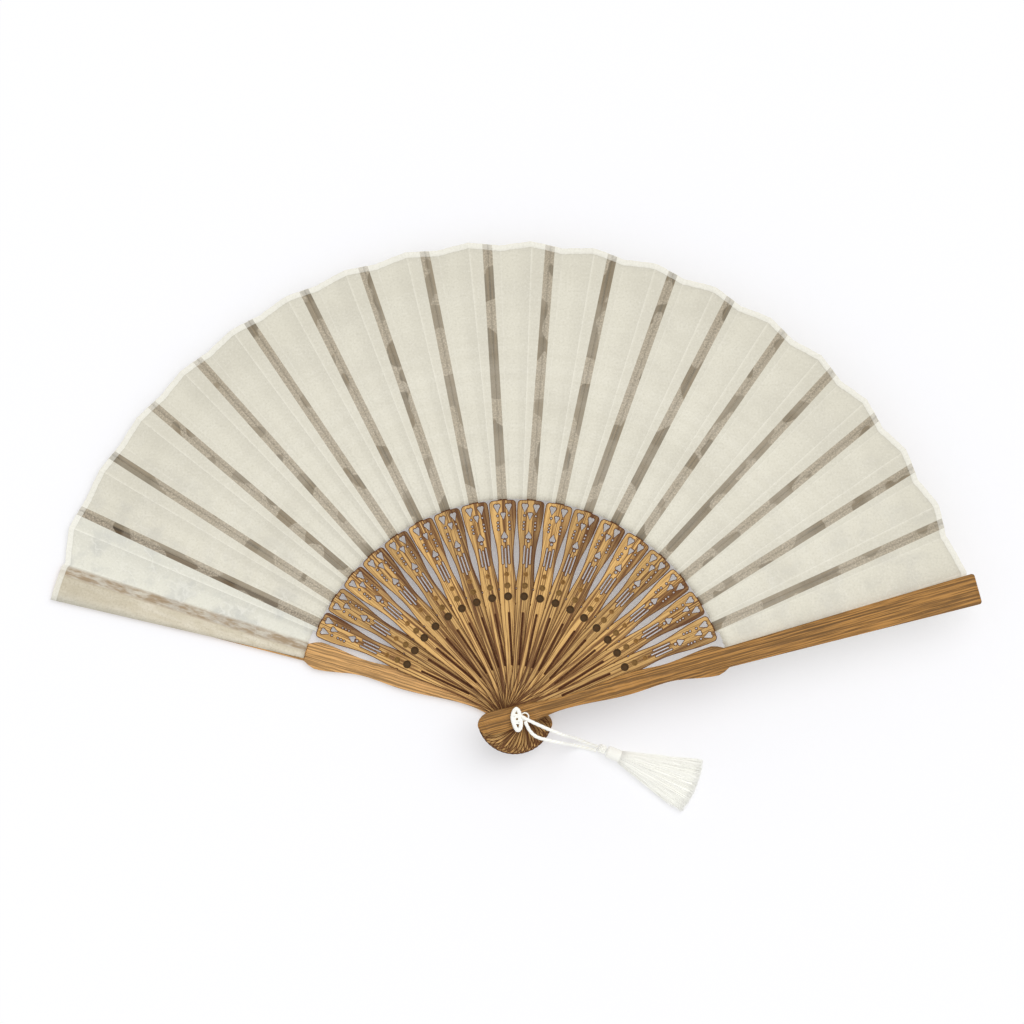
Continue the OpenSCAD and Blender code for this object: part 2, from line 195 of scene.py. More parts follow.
def closed_ends(points, rings, sides, middles=None):
    """Points and faces of a tube of rings, with a middle point added to each end and the faces that close it."""
    points = points.reshape(-1, 3)
    if middles is None:
        middles = [points[:sides].mean(0), points[-sides:].mean(0)]
    ring = np.arange(sides)
    onward = (ring + 1) % sides
    count = rings * sides
    first = np.stack([onward, ring, np.full(sides, count)], -1)
    last = np.stack([ring + count - sides, onward + count - sides, np.full(sides, count + 1)], -1)
    return np.concatenate([points, middles]), [*faces_of(rings, sides, wrap=True), *first, *last]


def added(name, data):
    """A new object in the scene."""
    item = bpy.data.objects.new(name, data)
    bpy.context.scene.collection.objects.link(item)
    return item


def mesh_of(name, points, faces, values, smooth=True):
    """A mesh object at the origin from points in millimetres and lists of corners, with a value a point by name."""
    mesh = bpy.data.meshes.new(name)
    mesh.from_pydata((np.asarray(points).reshape(-1, 3) * 0.001).tolist(), [], [f.tolist() for f in faces])
    mesh.polygons.foreach_set("use_smooth", np.full(len(mesh.polygons), smooth))
    for key, value in values.items():
        value = np.asarray(value, dtype=np.float32)
        vector = value.ndim == 2
        spot = mesh.attributes.new(key, "FLOAT_VECTOR" if vector else "FLOAT", "POINT")
        spot.data.foreach_set("vector" if vector else "value", value.ravel())
    mesh.update()
    return added(name, mesh)


def shell(under, over):
    """Points and faces of a closed sheet: two grids of the same size and a wall round their border."""
    rows, columns = under.shape[:2]
    count = rows * columns
    ids = np.arange(count).reshape(rows, columns)
    rim = np.concatenate([ids[0, :-1], ids[:-1, -1], ids[-1, :0:-1], ids[:0:-1, 0]])
    onward = np.roll(rim, -1)
    wall = np.stack([rim, onward, onward + count, rim + count], axis=-1)
    points = np.concatenate([under.reshape(-1, 3), over.reshape(-1, 3)])
    return points, [*faces_of(rows, columns, flip=True), *faces_of(rows, columns, count), *wall]


def dressed(name, node, slot, material, points, faces, crown=None):
    """A piece that moves with the rear stick and stands for one node of the frame."""
    piece = mesh_of(name, points, faces, {} if crown is None else {"crown": crown}, smooth=crown is not None)
    piece.data.materials.append(material)
    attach(piece, "rear_stick")
    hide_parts(node)
    return piece


def smooth_path(points, steps=8, closed=False):
    """A Catmull-Rom curve through the points: each stretch is the cubic blend of its four neighbours."""
    p = np.asarray(points, dtype=float)
    p = np.concatenate([p[-1:], p, p[:2]] if closed else [[2 * p[0] - p[1]], p, [2 * p[-1] - p[-2]]])
    t = np.linspace(0, 1, steps, endpoint=False)[None, :, None]
    a, b, c, d = (p[n:len(p) - 3 + n][:, None] for n in range(4))
    curve = 0.5 * (2 * b + (c - a) * t + (2 * a - 5 * b + 4 * c - d) * t ** 2 + (3 * b - a - 3 * c + d) * t ** 3)
    curve = curve.reshape(-1, 3)
    return curve if closed else np.concatenate([curve, [p[-2]]])


def path_length(path):
    """Sum of the path's steps."""
    return float(np.linalg.norm(np.diff(path, axis=0), axis=1).sum())


def unit(v):
    """Each vector over its own length."""
    return v / np.linalg.norm(v, axis=-1, keepdims=True)


def rope(path, radius, reference, turns=0.0, plies=3, sides=18, closed=False, depth=0.2):
    """Points, faces and crown values of a twisted cord.

    Round the path at each step stands a ring of sides points at distance radius x (1 - depth x (1 - |cos(plies / 2 x
    (a - twist))|)), where a is the angle round the ring and twist grows evenly to turns whole turns. The crown value is
    1 on top of a ply and 0 in the groove. reference is the direction that a = 90 degrees leans to.
    """
    path = np.asarray(path, dtype=float)
    ahead = np.roll(path, -1, 0) - np.roll(path, 1, 0)
    if not closed:
        ahead[0], ahead[-1] = path[1] - path[0], path[-1] - path[-2]
    ahead = unit(ahead)
    side = unit(np.cross(ahead, np.broadcast_to(reference, path.shape)))
    up = np.cross(side, ahead)
    steps = np.linalg.norm(np.diff(path, axis=0, append=path[:1]), axis=1)
    far = np.concatenate([[0], np.cumsum(steps)[:-1]]) / (steps.sum() if closed else steps[:-1].sum())
    a = ring_angles(sides)
    crown = np.abs(np.cos(plies / 2 * (a - 2 * math.pi * turns * far[:, None])))
    out = np.broadcast_to(radius, len(path))[:, None] * (1 - depth * (1 - crown))
    around = np.cos(a)[..., None] * side[:, None] + np.sin(a)[..., None] * up[:, None]
    points = path[:, None] + out[..., None] * around
    rows = len(path)
    if closed:
        grid = faces_of(rows + 1, sides, wrap=True) % (rows * sides)
        return points.reshape(-1, 3), list(grid), crown.ravel()
    return (*closed_ends(points, rows, sides, path[[0, -1]]), np.concatenate([crown.ravel(), [1, 1]]))


def turned(profile, sides=48):
    """Points and faces of a profile of (radius, height) pairs turned once round Z, its first and last on the axis."""
    r, z = np.asarray(profile, dtype=float).T
    a = ring_angles(sides)
    rings = np.stack([r[1:-1, None] * np.cos(a), r[1:-1, None] * np.sin(a), z[1:-1, None] + 0 * a], axis=-1)
    return closed_ends(rings, len(r) - 2, sides, [[0, 0, z[0]], [0, 0, z[-1]]])


def joined(*parts):
    """Several (points, faces, values...) as one, with the faces renumbered."""
    points, faces, values, start = [], [], [], 0
    for p, f, *v in parts:
        points.append(p)
        faces += [corner + start for corner in f]
        values.append(v)
        start += len(p)
    return (np.concatenate(points), faces, *(np.concatenate(v) for v in zip(*values)))


# ---------------------------------------------------------------- finishes


class Net:
    """A node tree that is being wired. Each call adds one node and returns its output."""

    def __init__(self, tree):
        self.tree = tree

    def put(self, kind, inputs=None, out=0, **settings):
        node = self.tree.nodes.new("ShaderNode" + kind)
        for name, value in settings.items():
            setattr(node, name, value)
        for key, value in (inputs or {}).items():
            if isinstance(value, bpy.types.NodeSocket):
                self.tree.links.new(value, node.inputs[key])
            else:
                spot = node.inputs[key]
                spot.default_value = (*value, 1.0) if spot.type == "RGBA" and len(value) == 3 else value
        return node.outputs[out]

    def math(self, operation, *values):
        return self.put("Math", dict(enumerate(values)), operation=operation)

    def times(self, first, *others):
        for other in others:
            first = self.math("MULTIPLY", first, other)
        return first

    def plus(self, a, b):
        return self.math("ADD", a, b)

    def step(self, value, low, high, to_low=0.0, to_high=1.0):
        return self.put("MapRange", {0: value, 1: low, 2: high, 3: to_low, 4: to_high}, interpolation_type="SMOOTHSTEP")

    def mix(self, factor, a, b):
        return self.put("Mix", {0: factor, 6: a, 7: b}, out=2, data_type="RGBA")

    def over(self, under, colour_in, *masks):
        """under, covered with colour_in by the product of the masks."""
        return self.mix(self.times(*masks), under, colour_in)

    def patch(self, under, colour_in, value, low, high, most=1.0):
        """under, covered with colour_in by 0 to most as value goes from low to high."""
        return self.mix(self.step(value, low, high, 0.0, most), under, colour_in)

    def noise(self, vector, scale=1.0, detail=2.0, rough=0.5):
        return self.put("TexNoise", {"Vector": vector, "Scale": scale, "Detail": detail, "Roughness": rough})

    def vector(self, x=0.0, y=0.0, z=0.0):
        return self.put("CombineXYZ", {0: x, 1: y, 2: z})

    def stretched(self, u, along, v, across, third, detail=2.0, rough=0.5):
        """Noise over the point (u x along, v x across, third)."""
        return self.noise(self.vector(self.times(u, along), self.times(v, across), third), 1.0, detail, rough)

    def place(self):
        return self.put("TexCoord", out="Object")

    def from_pivot(self):
        """Distance from the pivot's axis, in metres."""
        x, y, _ = self.parts(self.place())
        return self.math("SQRT", self.plus(self.times(x, x), self.times(y, y)))

    def parts(self, vector):
        return self.put("SeparateXYZ", {0: vector}).node.outputs[:]

    def read(self, name, out=2):
        return self.put("Attribute", out=out, attribute_name=name)

    def use(self, group, inputs):
        return self.put("Group", inputs, node_tree=group).node.outputs


def effect(name, wire, **inputs):
    """A shared node group. inputs are name=kind, and wire(net, sockets) returns {output name: socket}."""
    tree = bpy.data.node_groups.new(name, "ShaderNodeTree")
    for label, kind in inputs.items():
        tree.interface.new_socket(label, in_out="INPUT", socket_type="NodeSocket" + kind)
    entry = tree.nodes.new("NodeGroupInput")
    results = wire(Net(tree), entry.outputs)
    for label, source in results.items():
        kind = "Color" if source.type == "RGBA" else "Float"
        tree.interface.new_socket(label, in_out="OUTPUT", socket_type="NodeSocket" + kind)
    leave = tree.nodes.new("NodeGroupOutput")
    for label, source in results.items():
        tree.links.new(source, leave.inputs[label])
    return tree


def finish_of(name, wire, bump=0.0, **plain):
    """A Principled material. wire(net) returns its colour, its roughness and the height that bump scales, in metres."""
    material = bpy.data.materials.new(name)
    material.use_nodes = True
    shader = material.node_tree.nodes["Principled BSDF"]
    for key, value in plain.items():
        shader.inputs[key.replace("_", " ")].default_value = value
    net = Net(material.node_tree)
    tint, rough, height = wire(net)
    net.tree.links.new(tint, shader.inputs["Base Color"])
    net.tree.links.new(rough, shader.inputs["Roughness"])
    if bump:
        normal = net.put("Bump", {"Height": height, "Distance": bump, "Strength": 1.0})
        net.tree.links.new(normal, shader.inputs["Normal"])
    return material


def grain_effect():
    """Long fibres: noise stretched along the stick, 38 to 57 times as long as wide, in three widths, added up."""

    def wire(net, at):
        u, v, _ = net.parts(at["Place"])
        broad = net.stretched(u, 0.012, v, 0.55, at["Seed"])
        fine = net.stretched(u, 0.03, v, 1.7, at["Seed"], rough=0.6)
        hair = net.stretched(u, 0.09, v, 3.4, at["Seed"], rough=0.6)
        total = net.plus(net.times(broad, 0.15), net.plus(net.times(fine, 0.6), net.times(hair, 0.25)))
        return {"Fibre": net.step(total, 0.43, 0.57), "Hair": hair}

    return effect("bamboo_grain", wire, Place="Vector", Seed="Float")


def blade_effect(grain):
    """A rib's colour by place: fibre, a painted highlight along the golden left border, a painted shadow in the dark
    strip along the right edge, where the next rib lies over it, and darker near the pivot.

    side is the place across the rib over a width that tapers evenly from 4.75 at u = -9 to 1.9 at u = 90. Past that,
    on the slat, the width is 4.1 more, so that neither border nor strip shows there.
    """

    def wire(net, at):
        u, v, _ = net.parts(at["Place"])
        taper = net.put("MapRange", {0: u, 1: -9.0, 2: 90.0, 3: 4.75, 4: 1.9})
        on_slat = net.math("GREATER_THAN", u, 90.0)
        side = net.math("DIVIDE", v, net.math("MULTIPLY_ADD", on_slat, 4.1, taper))
        lines = net.use(grain, {"Place": at["Place"], "Seed": at["Seed"]})
        tint = net.patch(at["Dark"], at["Golden"], lines["Fibre"], 0.1, 0.9)
        tint = net.mix(net.step(lines["Hair"], 0.35, 0.65, 0.4, 0.0), tint, at["Base"])
        # Painted highlight: the blade's left border is lighter, from 8 to 30 mm out onwards.
        tint = net.over(tint, at["Golden"], net.step(side, 0.7, 0.9), net.step(u, 8.0, 30.0), 0.5)
        # Painted shadow: a dark strip along the right edge, where the next rib lies over this one, stronger further out
        # and patchy along the rib.
        strip = net.times(net.step(side, -0.66, -0.95), net.step(u, 25.0, 66.0, 0.1, 0.75))
        patchy = net.step(net.noise(net.vector(net.times(u, 0.05), at["Seed"], 0.0), 1.0, 1.0), 0.35, 0.6, 0.45, 1.0)
        tint = net.over(tint, at["Dark"], strip, patchy)
        tint = net.over(tint, at["Dark"], net.step(u, 46.0, 10.0), net.step(lines["Hair"], 0.52, 0.4), 0.4)
        rough = net.step(lines["Fibre"], 0.0, 1.0, 0.62, 0.46)
        return {"Color": tint, "Roughness": rough, "Height": net.plus(lines["Fibre"], net.times(lines["Hair"], 0.5))}

    return effect("bamboo_blade", wire, Place="Vector", Seed="Float", Base="Color", Golden="Color", Dark="Color")


def along_stick(net, turn):
    """Object coordinates in millimetres, turned so that X runs along the stick."""
    return net.put("Mapping", {"Vector": net.place(), "Rotation": (0, 0, -math.radians(turn)), "Scale": (1000,) * 3})


def blade_finish(name, group, look, turn, seed, tone):
    """The material of one rib: the shared blade effect turned to the rib, with its own seed and tone."""

    def wire(net):
        out = net.use(group, {
            "Place": along_stick(net, turn), "Seed": seed, "Base": toned(look.blade, tone),
            "Golden": toned(look.golden, tone), "Dark": toned(look.shadow, tone)})
        return out["Color"], out["Roughness"], out["Height"]

    return finish_of(name, wire, bump=0.00006, Specular_IOR_Level=0.4)


def guard_finish(name, grain, base, turn, seed, darkest):
    """The material of a guard: long straight grain, thin dark lines and a few lighter flecks. The grain runs along
    the walls too, because its place across the stick is v + 0.8 z."""

    def wire(net):
        u, v, z = net.parts(along_stick(net, turn))
        v = net.math("MULTIPLY_ADD", z, 0.8, v)
        lines = net.use(grain, {"Place": net.vector(u, v, 0.0), "Seed": seed})
        light = toned(base, 1.45)
        tint = net.mix(lines["Fibre"], toned(base, darkest), light)
        tint = net.mix(0.08, tint, base)
        thread = net.stretched(u, 0.02, v, 2.4, seed + 3.0, rough=0.6)
        tint = net.patch(tint, toned(base, darkest * 0.7), thread, 0.45, 0.37, 0.75)
        fleck = net.stretched(u, 0.25, v, 2.0, seed + 8.0)
        tint = net.patch(tint, light, fleck, 0.62, 0.72, 0.35)
        rough = net.step(lines["Fibre"], 0.0, 1.0, 0.58, 0.42)
        return tint, rough, net.plus(lines["Fibre"], net.times(thread, 0.8))

    return finish_of(name, wire, bump=0.00008, Specular_IOR_Level=0.4)


def scorched_finish(look):
    """The browned strip that the cutter leaves round every edge, here lighter and there nearly black."""

    def wire(net):
        patch = net.noise(net.place(), 700.0, 3.0, 0.6)
        tint = net.patch(look.scorched, look.shadow, patch, 0.3, 0.62)
        tint = net.patch(tint, look.blade, patch, 0.45, 0.3, 0.25)
        return tint, net.step(patch, 0.3, 0.7, 0.6, 0.75), patch

    return finish_of("bamboo_scorched", wire, bump=0.00004, Specular_IOR_Level=0.3)


def hollow_shade_finish(look):
    """The floors of the round hollows and of the groove, painted dark as the shade that lies in them: the hollows
    darker nearer the pivot, the groove a reddish brown. The tone changes at three distances from the pivot, each given
    in metres as where it starts and ends to change."""
    groove, second, third = (0.0455, 0.0445), (0.0500, 0.0512), (0.0548, 0.0556)

    def wire(net):
        out = net.from_pivot()
        patch = net.noise(net.place(), 900.0, 3.0, 0.6)
        # Painted shade: the hollows' floors are nearly black nearest the pivot, mid brown further out, then halfway to
        # the blade's colour; the groove's floor is a dark red-brown.
        tint = net.patch(paint(78, 56, 26), paint(140, 106, 56), out, *second)
        tint = net.patch(tint, look.blade, out, *third, 0.5)
        tint = net.patch(tint, paint(98, 48, 24), out, *groove)
        tint = net.patch(tint, look.shadow, patch, 0.45, 0.7, 0.4)
        return tint, net.step(patch, 0.3, 0.7, 0.65, 0.8), patch

    return finish_of("bamboo_hollow_shade", wire, bump=0.00005, Specular_IOR_Level=0.3)


def sawn_finish(look):
    """The ribs' outer edges, one tone a layer, with a painted shade line where two layers meet. The layer's number is
    the height over the lowest rib's floor, over RIB_PITCH."""
    lowest = 2.3

    def wire(net):
        x, y, z = net.parts(net.place())
        layer = net.math("MULTIPLY_ADD", z, 1000 / RIB_PITCH, -lowest / RIB_PITCH)
        seam_shade = net.math("FRACT", layer)
        seam_shade = net.plus(net.step(seam_shade, 0.2, 0.05), net.step(seam_shade, 0.7, 0.88))
        own = net.times(net.math("FLOOR", layer), 7.3)
        tone = net.stretched(x, 22.0, y, 22.0, own)
        fibre = net.stretched(x, 90.0, y, 90.0, net.times(z, 5000.0), 3.0, 0.6)
        tint = net.patch(toned(look.blade, 0.7), look.golden, tone, 0.35, 0.65)
        tint = net.patch(tint, look.scorched, fibre, 0.55, 0.38, 0.6)
        # Painted shade: a dark line where one rib's layer meets the next.
        tint = net.over(tint, look.shadow, seam_shade, 0.75)
        return tint, net.step(fibre, 0.3, 0.7, 0.5, 0.66), fibre

    return finish_of("bamboo_sawn", wire, bump=0.00004, Specular_IOR_Level=0.35)


def weave_effect():
    """Plain weave: two crossed waves of threads, sin(t x) and sin(t y), whose product tells which one is on top."""

    def wire(net, at):
        x, y, _ = net.parts(at["Place"])
        warp = net.math("SINE", net.times(x, at["Threads"]))
        weft = net.math("SINE", net.times(y, at["Threads"]))
        over = net.math("MULTIPLY_ADD", net.times(warp, weft), 0.5, 0.5)
        return {"Height": net.plus(net.times(over, 0.5), net.stretched(x, 0.15, y, 2.4, 0.0))}

    return effect("silk_weave", wire, Place="Vector", Threads="Float")


def silk_finish(look, grain, weave):
    """The leaf's silk. It reads what the leaf's points carry: cloth (place in mm), side, far, along, stick, fold, hem
    and band. Over it lie, in turn, clouds and the painted light and shade of the pleats (painted shade across the
    panels, painted highlights along the creases), crinkles, the doubled hem with a painted shade line at its inner
    edge, the slats that show through with their glue stains, and the rear guard's band."""

    def wire(net):
        mix, over, patch, step = net.mix, net.over, net.patch, net.step
        times, plus, noise, stretched = net.times, net.plus, net.noise, net.stretched
        cloth = net.read("cloth", 1)
        side, far, along, stick, fold, hem, band = (
            net.read(name) for name in ("side", "far", "along", "stick", "fold", "hem", "band"))
        woven = net.use(weave, {"Place": cloth, "Threads": 11.0})
        cloud = noise(cloth, 0.045, 4.0, 0.6)
        speck = noise(cloth, 1.1, 3.0, 0.7)
        # Painted shade on the pleats: where fold is above 0 the silk turns towards the shade colour, on the glued parts
        # and rising across each free panel towards its ridge.
        tint = mix(net.math("MAXIMUM", fold, 0.0), look.silk, look.shade)
        tint = patch(tint, look.shade, cloud, 0.42, 0.7, 0.5)
        tint = patch(tint, look.shade, speck, 0.52, 0.72, 0.55)
        tint = patch(tint, look.hem, speck, 0.48, 0.28, 0.5)
        # Painted highlight along the creases, where fold is below 0: the silk turns towards the hem's whiter colour,
        # broken up by noise.
        crease_highlight_breaks = step(noise(cloth, 0.7, 3.0, 0.7), 0.38, 0.58, 0.15, 1.0)
        tint = over(tint, look.hem, net.math("MAXIMUM", times(fold, -2.4), 0.0), crease_highlight_breaks)

        ends = plus(step(stick, 3.2, 0.5), step(stick, 15.5, 18.0, 0.0, 0.6))
        ripple = net.math("ABSOLUTE", net.math("SUBTRACT", noise(cloth, 0.06, 3.0, 0.55), 0.5))
        frizz = net.math("ABSOLUTE", net.math("SUBTRACT", noise(cloth, 0.17, 3.0, 0.6), 0.48))
        vein = plus(step(ripple, 0.022, 0.0), step(frizz, 0.02, 0.0, 0.0, 0.6))
        vein = times(vein, ends, step(cloud, 0.4, 0.62, 0.15, 1.0))
        murk = step(noise(cloth, 0.09, 3.0, 0.6), 0.45, 0.68)
        tint = over(tint, paint(207, 207, 200), ends, murk, 0.6)
        tint = over(tint, look.hem, vein, 0.45)

        tint = over(tint, look.hem, step(hem, 2.45, 2.25), step(speck, 0.3, 0.7, 0.95, 0.55))
        # Painted shade: a thin darker line along the inner edge of the doubled hem.
        tint = over(tint, toned(look.shade, 0.8), step(hem, 2.1, 2.35), step(hem, 2.75, 2.45), 0.25)

        streak = net.use(grain, {"Place": net.vector(along, side, 0.0), "Seed": stick})
        stain = step(stretched(along, 0.075, stick, 3.71, times(side, 0.1), 1.5), 0.51, 0.53)
        deep = step(stretched(along, 0.05, stick, 5.3, 7.0, 1.0), 0.46, 0.53, 0.6, 0.97)
        slat = over(toned(look.slat, 0.72), toned(look.slat, 1.22), streak["Hair"], 0.9)
        slat = over(slat, mix(streak["Fibre"], toned(look.glue, 0.35), toned(look.glue, 1.1)), stain, deep)
        dots = noise(cloth, 1.4, 1.0, 0.8)
        bare = net.math("MULTIPLY_ADD", stain, -0.97, 1.0)
        slat = over(slat, toned(look.slat, 1.5), step(dots, 0.5, 0.64, 0.0, 0.85), bare)
        slat = over(slat, toned(look.slat, 0.55), step(dots, 0.47, 0.36, 0.0, 0.7), bare)
        shown = times(step(far, 2.05, 1.85), step(hem, 0.05, 0.25))
        tint = over(tint, slat, shown, step(hem, 2.25, 2.4, 0.45, 0.97))

        blotch = stretched(along, 0.1, band, 0.35, 3.0, 3.0, 0.65)
        single = step(hem, 2.2, 2.5, 0.35, 1.0)
        pale = times(step(band, 2.8, 3.6), step(band, 16.0, 8.0, 0.35, 1.0))
        dull = plus(step(speck, 0.45, 0.7, 0.0, 0.5), step(along, 145.0, 185.0, 0.0, 0.5))
        wan = patch(paint(210, 199, 174), paint(229, 220, 200), blotch, 0.3, 0.7)
        wan = mix(dull, wan, paint(190, 179, 154))
        tint = over(tint, wan, pale, single, 0.9)
        dark = times(step(band, -1.4, 0.3), step(band, 4.3, 2.6), step(blotch, 0.35, 0.6, 0.35, 0.95))
        brown = mix(streak["Hair"], paint(136, 112, 80), paint(188, 166, 138))
        tint = over(tint, brown, dark, single)

        height = plus(woven["Height"], plus(times(cloud, 2.0), times(vein, 1.5)))
        return tint, step(speck, 0.3, 0.7, 0.72, 0.6), height

    return finish_of("silk_leaf", wire, bump=0.00005, Sheen_Weight=0.12, Sheen_Roughness=0.5, Specular_IOR_Level=0.25)


def cord_finish(name, look, through):
    """White thread: grooves between the plies are greyer (crown) as painted shade, with fine fibres across it. The
    threads also glow by through, a painted light of their own that stands for light passing through them."""

    def wire(net):
        crown = net.read("crown")
        fibre = net.noise(net.place(), 2600.0, 3.0, 0.65)
        soft = net.noise(net.place(), 420.0, 2.0)
        # Painted shade in the grooves: where crown is low the thread turns grey.
        tint = net.patch(look.groove, look.white, crown, 0.0, 0.75)
        tint = net.patch(tint, look.groove, fibre, 0.4, 0.8, 0.2)
        height = net.plus(net.times(crown, 0.6), net.plus(fibre, net.times(soft, 0.5)))
        return tint, net.step(soft, 0.3, 0.7, 0.66, 0.5), height

    # Painted light: the thread glows by through, as if lit from within.
    return finish_of(
        name, wire, bump=0.00004, Sheen_Weight=0.2, Specular_IOR_Level=0.35, Emission_Color=(1.0, 0.98, 0.9, 1.0),
        Emission_Strength=through)


def metal_finish():
    """Brushed brass: rings round the pivot and small darker scratches."""

    def wire(net):
        ring = net.noise(net.vector(net.times(net.from_pivot(), 9000.0)), 1.0, 2.0)
        scratch = net.noise(net.place(), 1500.0, 3.0, 0.7)
        tint = net.patch(paint(150, 118, 66), paint(206, 174, 112), ring, 0.3, 0.7)
        tint = net.patch(tint, paint(104, 80, 48), scratch, 0.6, 0.75, 0.5)
        return tint, net.step(scratch, 0.35, 0.7, 0.28, 0.5), net.plus(ring, scratch)

    return finish_of("pivot_brass", wire, bump=0.00002, Metallic=1.0)


def floor_finish(look):
    """Plain pale floor with the faintest mottle."""

    def wire(net):
        cloud = net.noise(net.place(), 3.0, 2.0)
        tint = net.over(look.floor, paint(192, 192, 198), cloud, 0.06)
        return tint, net.step(cloud, 0.2, 0.8, 0.9, 0.95), cloud

    return finish_of(
        "pale_floor", wire, Specular_IOR_Level=0.0, Emission_Color=(1.0, 1.0, 1.0, 1.0), Emission_Strength=look.glow)


# ---------------------------------------------------------------- the leaf


def seat_height(k, shut, r, ridge):
    """Underside of the silk on stick k, at the angle shut from its centre line and radius r: flat on the slat, up to
    ridge at the rear crease, CREASE_DIP down at the front one. On a guard it is flat."""
    x = r * np.sin(np.radians(shut))
    if k in (0, RIBS + 1):
        return SEATS[k] + 0 * x
    rear = r * math.sin(math.radians(CREASE_REAR))
    front = r * math.sin(math.radians(CREASE_FRONT))
    up = np.clip((-x - SLAT_HALF) / (rear - SLAT_HALF), 0, 1)
    down = np.clip((x - SLAT_HALF) / (front - SLAT_HALF), 0, 1)
    return SEATS[k] + ridge * up - CREASE_DIP * down


def lift_share(shut, r, front, low, high):
    """How far the free panel has climbed to the next stick, by its angle when the fan is shut: 0 at the front crease,
    low to high across the slat, 1 at the rear crease, straight between."""
    a = np.degrees(np.arcsin(SLAT_HALF / r))
    before = low * (front - shut) / (front - a)
    across = low + (high - low) * (a - shut) / (2 * a)
    beyond = high + (1 - high) * (-a - shut) / (CREASE_REAR - a)
    return np.clip(np.where(shut > a, before, np.where(shut > -a, across, beyond)), 0, 1)


def tip_radius(k, shut):
    """Outer edge on stick k: with m from -1 on the first rib to 1 on the last, its ridge is at
    192.7 - 2.75 m + 1.5 m x m and its valley 2 + 0.6 m nearer the pivot. The rear guard's corner stays covered."""
    if k == 0:
        return 194.9 - 0.6 * np.clip((shut + 2.4) / 4.3, 0, 1) - 0.9 * np.clip((shut - 1.9) / 0.4, 0, 1)
    m = (k - 9.5) / 8.5
    peak = 192.7 - 2.75 * m + 1.5 * m * m
    if k == RIBS + 1:
        return peak - 2.0 * np.clip((shut + CREASE_REAR) / CREASE_REAR, 0, 1)
    return peak - (2.0 + 0.6 * m) * (shut + CREASE_REAR) / (CREASE_REAR + CREASE_FRONT)


def spot_at(k, angle, radius):
    """X and Y at this angle from stick k and this radius."""
    turn = np.radians(REAR_TURN - TURNS[k] - angle)
    return radius * np.cos(turn), radius * np.sin(turn)


